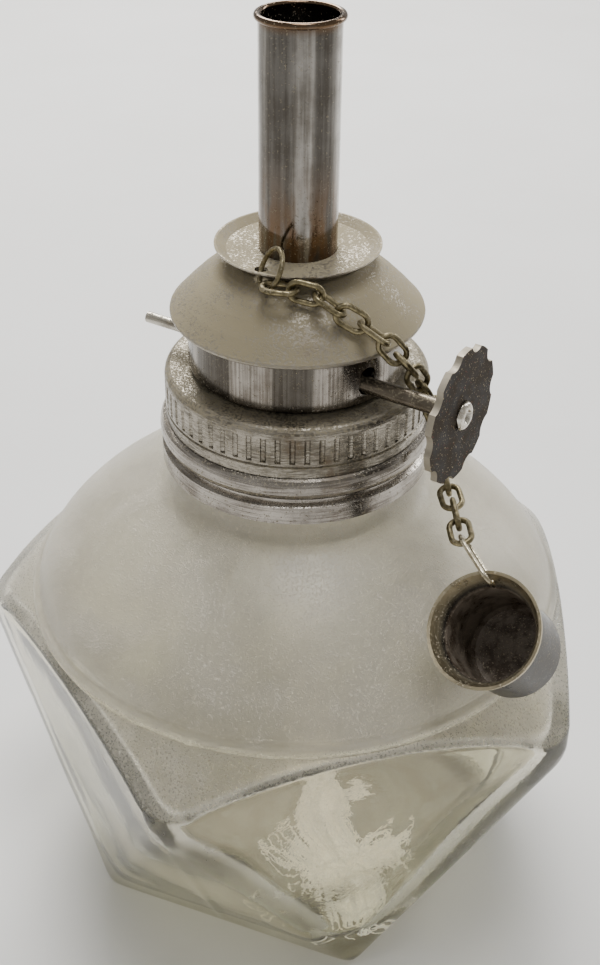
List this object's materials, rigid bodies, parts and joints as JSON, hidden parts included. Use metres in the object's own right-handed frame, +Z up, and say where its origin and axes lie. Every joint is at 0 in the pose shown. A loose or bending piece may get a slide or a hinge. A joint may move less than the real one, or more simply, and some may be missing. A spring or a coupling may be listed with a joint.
{
  "type": "spirit lamp",
  "caption": "Spirit lamp with a faceted glass font, a screwed metal burner with a knob-raised wick, and a snuffer cap on a chain.",
  "frame": {"origin": "centre of the font's flat base", "axes": "+Z up along the wick tube, +X along the wick shaft towards its knob"},
  "size_m": [0.0902, 0.0911, 0.1345],
  "materials": {
    "clear_glass": "dusty pressed glass",
    "plated_metal": "worn nickel plate with dust",
    "brushed_collar": "brushed nickel plate",
    "dark_metal": "tarnished",
    "old_brass": "dull khaki brass",
    "raw_brass": "plain brass",
    "cotton": "loose cotton",
    "plaster": "matte plaster",
    "gasket": "matte"
  },
  "bodies": {
    "font": {"glass_font": "clear_glass", "collar_cement": "plaster", "neck_collar": "brushed_collar"},
    "burner": {"cap_retainer": "raw_brass", "neck_gasket": "gasket", "burner_drum": "plated_metal", "drum_base": "raw_brass", "burner_hood": "plated_metal", "drip_flange": "plated_metal", "wick_tube": "plated_metal", "shaft_bearings": "raw_brass", "flange_ring": "old_brass", "chain_draped": "old_brass"},
    "cap": {"screw_cap": "plated_metal"},
    "wick_raiser": {"wick_shaft": "plated_metal", "shaft_sleeve": "dark_metal", "shaft_stop": "raw_brass", "star_wheels": "raw_brass", "knob_hub": "dark_metal", "knob_disc": "dark_metal", "knob_rivet": "plated_metal"},
    "wick": {"wick": "cotton", "wick_tail": "cotton"},
    "hanging_chain": {"chain_hanging": "old_brass"},
    "lower_chain": {"chain_lower": "old_brass"},
    "snuffer": {"snuffer_ring": "old_brass", "snuffer_cap": "dark_metal"}
  },
  "joints": [
    {"name": "burner_lift", "type": "slide", "parent": "font", "child": "burner", "axis": [0, 0, 1], "range_m": [0, 0.00375]},
    {"name": "cap_turn", "type": "hinge", "parent": "burner", "child": "cap", "pos_m": [0, 0, 0.0825], "axis": [0, 0, 1], "range_deg": [0, 540]},
    {"name": "wick_turn", "type": "hinge", "parent": "burner", "child": "wick_raiser", "pos_m": [0, -0.0053, 0.08915], "axis": [1, 0, 0], "range_deg": [0, 330]},
    {"name": "wick_rise", "type": "slide", "parent": "burner", "child": "wick", "axis": [0, 0, 1], "range_m": [0, 0.0192]},
    {"name": "chain_swing", "type": "hinge", "parent": "burner", "child": "hanging_chain", "pos_m": [0.0168, -0.0063, 0.097], "axis": [0.9404, -0.3401, 0], "range_deg": [0, 10]},
    {"name": "chain_bend", "type": "hinge", "parent": "hanging_chain", "child": "lower_chain", "pos_m": [0.0235, -0.0001, 0.0766], "axis": [0.02, -0.9998, 0], "range_deg": [0, 8]},
    {"name": "snuffer_swing", "type": "hinge", "parent": "lower_chain", "child": "snuffer", "pos_m": [0.0315, -0.0107, 0.0745], "axis": [-0.2961, -0.9552, 0], "range_deg": [0, 20]}
  ],
  "couplings": [
    {"joint": "cap_turn", "follows": "burner_lift", "rad_per_m": 2513.3},
    {"joint": "wick_turn", "follows": "wick_rise", "rad_per_m": 299.98}
  ]
}
